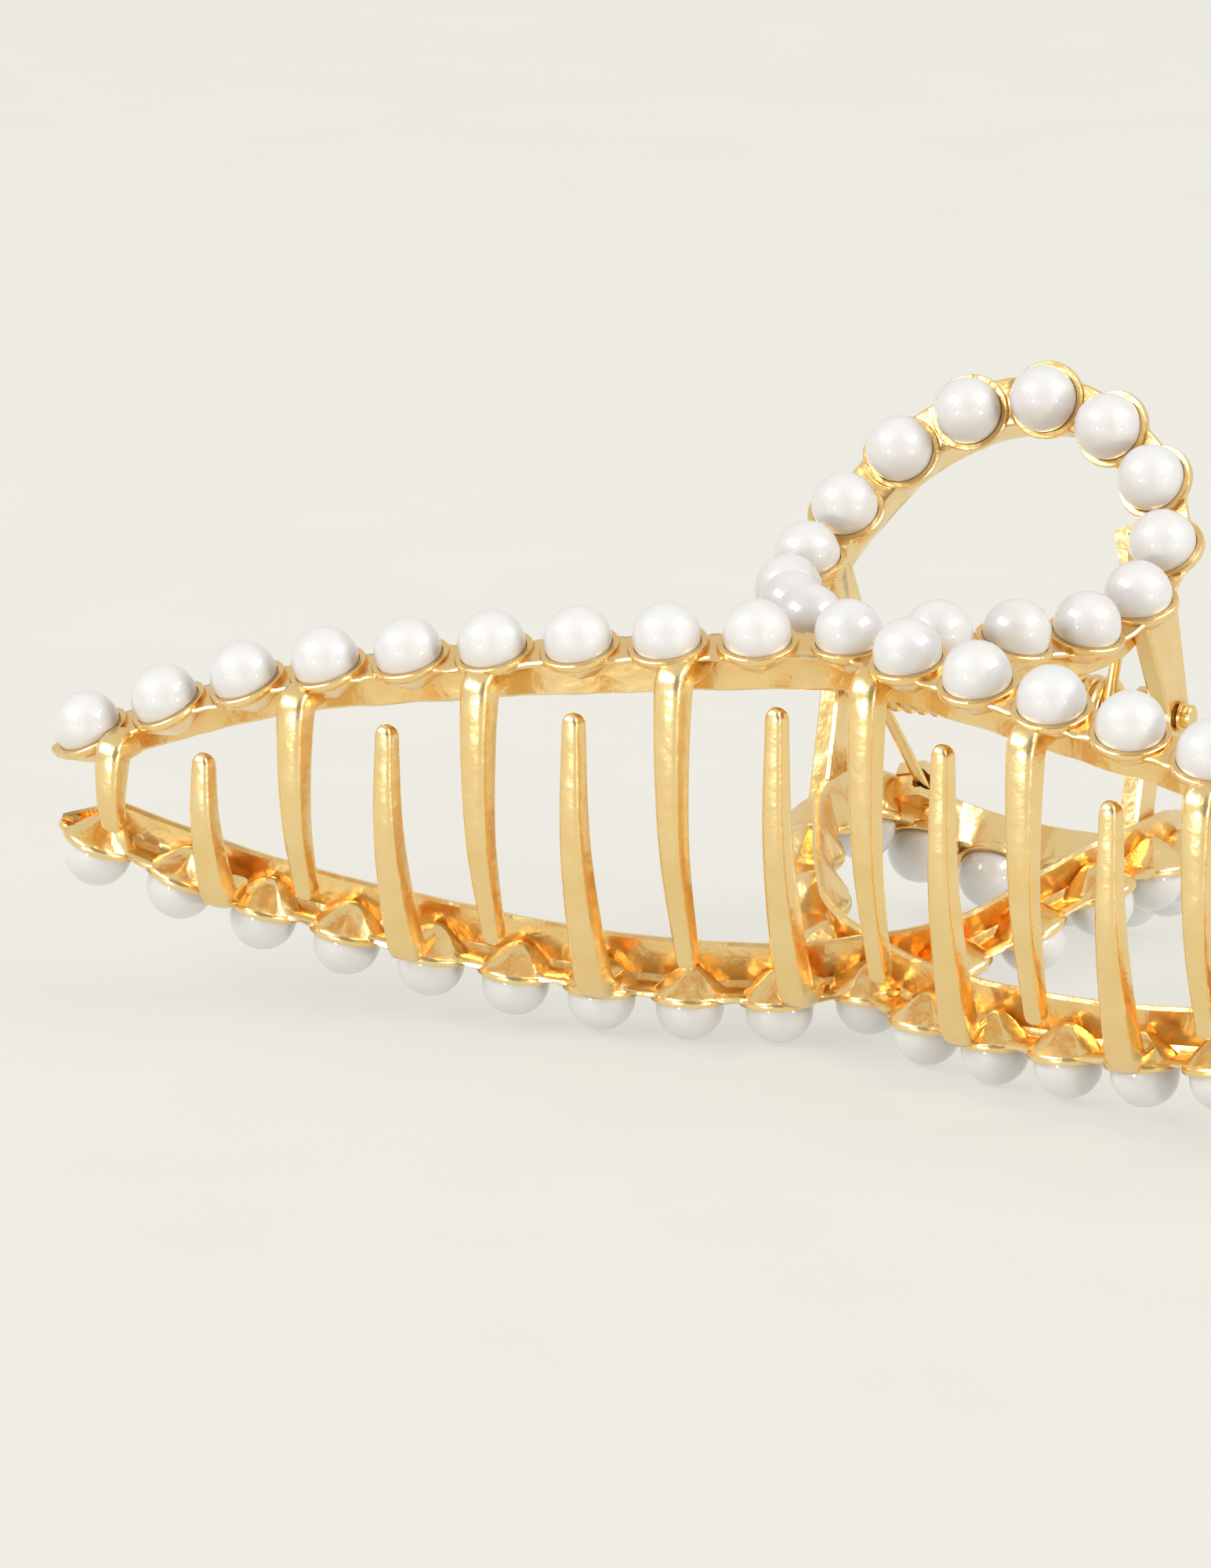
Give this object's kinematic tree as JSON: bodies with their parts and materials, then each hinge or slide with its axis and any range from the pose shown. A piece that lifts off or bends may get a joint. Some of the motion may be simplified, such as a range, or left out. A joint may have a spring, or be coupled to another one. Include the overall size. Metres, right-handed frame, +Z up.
{
  "type": "hair claw clip",
  "caption": "Claw hair clip: two cast gold jaws with interleaved teeth and looped finger grips, studded with pearls, on a sprung hinge.",
  "frame": {"origin": "middle of the underside of the clip's box, as it rests on its lower loop and lower arms", "axes": "+X along the hinge pin and the clip's length, -Y towards the teeth, +Y towards the finger loops, +Z up"},
  "size_m": [0.118, 0.0574, 0.0445],
  "materials": {
    "gold_plating": "light gold plating on a hammered zinc casting, semi-bright",
    "gold_wire": "gold-plated spring wire and pin, bright",
    "pearl": "white imitation pearl with a nacre lacquer"
  },
  "bodies": {
    "lower_jaw": {"lower_jaw": "gold_plating", "hinge_pin": "gold_wire", "torsion_spring": "gold_wire", "lower_pearl_left_arm_1": "pearl", "lower_pearl_left_arm_2": "pearl", "lower_pearl_left_arm_3": "pearl", "lower_pearl_left_arm_4": "pearl", "lower_pearl_left_arm_5": "pearl", "lower_pearl_left_arm_6": "pearl", "lower_pearl_left_arm_7": "pearl", "lower_pearl_left_arm_8": "pearl", "lower_pearl_left_arm_9": "pearl", "lower_pearl_left_loop_1": "pearl", "lower_pearl_left_loop_2": "pearl", "lower_pearl_left_loop_3": "pearl", "lower_pearl_left_loop_4": "pearl", "lower_pearl_right_arm_1": "pearl", "lower_pearl_right_arm_2": "pearl", "lower_pearl_right_arm_3": "pearl", "lower_pearl_right_arm_4": "pearl", "lower_pearl_right_arm_5": "pearl", "lower_pearl_right_arm_6": "pearl", "lower_pearl_right_arm_7": "pearl", "lower_pearl_right_arm_8": "pearl", "lower_pearl_right_arm_9": "pearl", "lower_pearl_right_loop_1": "pearl", "lower_pearl_right_loop_2": "pearl", "lower_pearl_right_loop_3": "pearl", "lower_pearl_right_loop_4": "pearl", "lower_pearl_crossing": "pearl", "lower_pearl_crown": "pearl"},
    "upper_jaw": {"upper_jaw": "gold_plating", "upper_pearl_left_arm_1": "pearl", "upper_pearl_left_arm_2": "pearl", "upper_pearl_left_arm_3": "pearl", "upper_pearl_left_arm_4": "pearl", "upper_pearl_left_arm_5": "pearl", "upper_pearl_left_arm_6": "pearl", "upper_pearl_left_arm_7": "pearl", "upper_pearl_left_arm_8": "pearl", "upper_pearl_left_arm_9": "pearl", "upper_pearl_left_loop_1": "pearl", "upper_pearl_left_loop_2": "pearl", "upper_pearl_left_loop_3": "pearl", "upper_pearl_left_loop_4": "pearl", "upper_pearl_right_arm_1": "pearl", "upper_pearl_right_arm_2": "pearl", "upper_pearl_right_arm_3": "pearl", "upper_pearl_right_arm_4": "pearl", "upper_pearl_right_arm_5": "pearl", "upper_pearl_right_arm_6": "pearl", "upper_pearl_right_arm_7": "pearl", "upper_pearl_right_arm_8": "pearl", "upper_pearl_right_arm_9": "pearl", "upper_pearl_right_loop_1": "pearl", "upper_pearl_right_loop_2": "pearl", "upper_pearl_right_loop_3": "pearl", "upper_pearl_right_loop_4": "pearl", "upper_pearl_crossing": "pearl", "upper_pearl_crown": "pearl"}
  },
  "joints": [
    {"name": "jaw_hinge", "type": "hinge", "parent": "lower_jaw", "child": "upper_jaw", "pos_m": [0, 0.01256, 0.02091], "axis": [-1, 0, 0], "range_deg": [0, 60], "stiffness_Nm_per_rad": 0.08, "springref_deg": -68.75, "deforming": ["torsion_spring"]}
  ]
}
